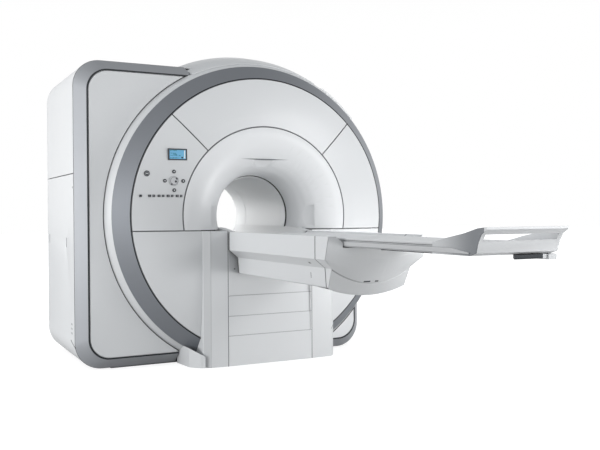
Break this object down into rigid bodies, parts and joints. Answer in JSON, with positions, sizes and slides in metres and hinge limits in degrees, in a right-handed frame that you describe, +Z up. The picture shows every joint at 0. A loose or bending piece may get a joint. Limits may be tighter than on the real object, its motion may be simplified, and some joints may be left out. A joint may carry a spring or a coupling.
{
  "type": "mri scanner",
  "caption": "Magnetic resonance scanner: round domed gantry face with flared bore, raised left shield and a lifting, sliding patient table on a cantilever arm.",
  "frame": {"origin": "on the floor under the bore axis, in the plane of the round face's outer edge", "axes": "+Y into the bore (the table points to -Y), +X to the right seen from the table, +Z up"},
  "size_m": [2.505, 4.027, 2.33],
  "materials": {
    "cover_white": "painted moulded cover, satin",
    "accent_grey": "silver-grey metallic, satin",
    "table_white": "painted moulded cover, satin",
    "board_grey": "fibre composite, matt",
    "bore_white": "matt",
    "steel": "brushed",
    "frame_grey": "powder coated",
    "vessel_white": "painted",
    "coil_resin": "cast resin",
    "button_dark": "matt",
    "button_grey": "matt",
    "screen_blue": "glossy",
    "fitting_dark": "matt"
  },
  "bodies": {
    "gantry": {"face_panel_left": "cover_white", "face_panel_top": "cover_white", "face_panel_right": "cover_white", "bore_funnel": "cover_white", "accent_ring": "accent_grey", "drum_shell": "cover_white", "shield_panel_left": "cover_white", "shield_panel_right": "cover_white", "shield_bezel_left": "accent_grey", "shield_bezel_right": "accent_grey", "upper_side_cover": "cover_white", "lower_side_cover": "cover_white", "right_side_cover": "cover_white", "rear_cover": "cover_white", "rear_mouth": "bore_white", "hood": "cover_white", "lower_cover_left": "cover_white", "lower_cover_right": "cover_white", "drum_foot": "cover_white", "base_frame": "frame_grey", "magnet_vessel": "vessel_white", "cold_head": "steel", "gradient_coil": "coil_resin", "body_coil": "coil_resin", "bore_liner": "bore_white", "bore_bridge": "table_white", "niche_wall": "cover_white", "skirt_panel_fixed": "cover_white", "ram_tube": "steel", "display_bezel": "button_dark", "display_glass": "screen_blue"},
    "table_arm": {"skirt_panel_upper": "cover_white", "lift_carriage": "frame_grey", "ram_rod": "steel", "arm_cover": "table_white", "arm_end_cap": "table_white", "arm_frame": "frame_grey", "arm_rails": "steel", "drive_unit": "fitting_dark", "nose_upper": "table_white", "nose_lower": "table_white"},
    "patient_top": {"tabletop": "board_grey", "side_rails": "board_grey", "foot_handle": "board_grey", "end_fitting": "fitting_dark", "board_runners": "fitting_dark"},
    "middle_sheet": {"skirt_panel_middle": "cover_white"},
    "lower_sheet": {"skirt_panel_lower": "cover_white"},
    "ram_middle": {"ram_stage": "steel"},
    "stop": {"stop_button": "button_dark"},
    "dial": {"jog_dial": "button_grey"},
    "arrow_up": {"arrow_button_up": "button_grey"},
    "arrow_down": {"arrow_button_down": "button_grey"},
    "arrow_left": {"arrow_button_left": "button_grey"},
    "arrow_right": {"arrow_button_right": "button_grey"},
    "power": {"power_key": "button_dark"},
    "key_1": {"rocker_1": "button_dark"},
    "key_2": {"rocker_2": "button_dark"},
    "key_3": {"rocker_3": "button_dark"},
    "key_4": {"rocker_4": "button_dark"}
  },
  "joints": [
    {"name": "table_lift", "type": "slide", "parent": "gantry", "child": "table_arm", "axis": [0, 0, 1], "range_m": [-0.46, 0]},
    {"name": "middle_sheet_slide", "type": "slide", "parent": "gantry", "child": "middle_sheet", "axis": [0, 0, 1], "range_m": [-0.30667, 0]},
    {"name": "lower_sheet_slide", "type": "slide", "parent": "gantry", "child": "lower_sheet", "axis": [0, 0, 1], "range_m": [-0.15333, 0]},
    {"name": "ram_stage_slide", "type": "slide", "parent": "gantry", "child": "ram_middle", "axis": [0, 0, 1], "range_m": [-0.23, 0]},
    {"name": "tabletop_travel", "type": "slide", "parent": "table_arm", "child": "patient_top", "axis": [0, 1, 0], "range_m": [0, 0.945]},
    {"name": "stop_press", "type": "slide", "parent": "gantry", "child": "stop", "axis": [0, 1, 0], "range_m": [0, 0.002], "stiffness_N_per_m": 800},
    {"name": "arrow_up_press", "type": "slide", "parent": "gantry", "child": "arrow_up", "axis": [0, 1, 0], "range_m": [0, 0.002], "stiffness_N_per_m": 800},
    {"name": "arrow_down_press", "type": "slide", "parent": "gantry", "child": "arrow_down", "axis": [0, 1, 0], "range_m": [0, 0.002], "stiffness_N_per_m": 800},
    {"name": "arrow_left_press", "type": "slide", "parent": "gantry", "child": "arrow_left", "axis": [0, 1, 0], "range_m": [0, 0.002], "stiffness_N_per_m": 800},
    {"name": "arrow_right_press", "type": "slide", "parent": "gantry", "child": "arrow_right", "axis": [0, 1, 0], "range_m": [0, 0.002], "stiffness_N_per_m": 800},
    {"name": "power_press", "type": "slide", "parent": "gantry", "child": "power", "axis": [0, 1, 0], "range_m": [0, 0.002], "stiffness_N_per_m": 800},
    {"name": "dial_turn", "type": "hinge", "parent": "gantry", "child": "dial", "pos_m": [-0.716, -0.0379, 1.326], "axis": [0, -1, 0], "range_deg": [-170, 170]},
    {"name": "key_1_rock", "type": "hinge", "parent": "gantry", "child": "key_1", "pos_m": [-0.8735, -0.0193, 1.221], "axis": [0, 0, 1], "range_deg": [-4, 4], "stiffness_Nm_per_rad": 0.5},
    {"name": "key_2_rock", "type": "hinge", "parent": "gantry", "child": "key_2", "pos_m": [-0.8095, -0.0275, 1.221], "axis": [0, 0, 1], "range_deg": [-4, 4], "stiffness_Nm_per_rad": 0.5},
    {"name": "key_3_rock", "type": "hinge", "parent": "gantry", "child": "key_3", "pos_m": [-0.746, -0.0337, 1.221], "axis": [0, 0, 1], "range_deg": [-4, 4], "stiffness_Nm_per_rad": 0.5},
    {"name": "key_4_rock", "type": "hinge", "parent": "gantry", "child": "key_4", "pos_m": [-0.682, -0.0381, 1.221], "axis": [0, 0, 1], "range_deg": [-4, 4], "stiffness_Nm_per_rad": 0.5}
  ],
  "couplings": [
    {"joint": "middle_sheet_slide", "follows": "table_lift", "ratio": 0.66667},
    {"joint": "lower_sheet_slide", "follows": "table_lift", "ratio": 0.33333},
    {"joint": "ram_stage_slide", "follows": "table_lift", "ratio": 0.5}
  ]
}
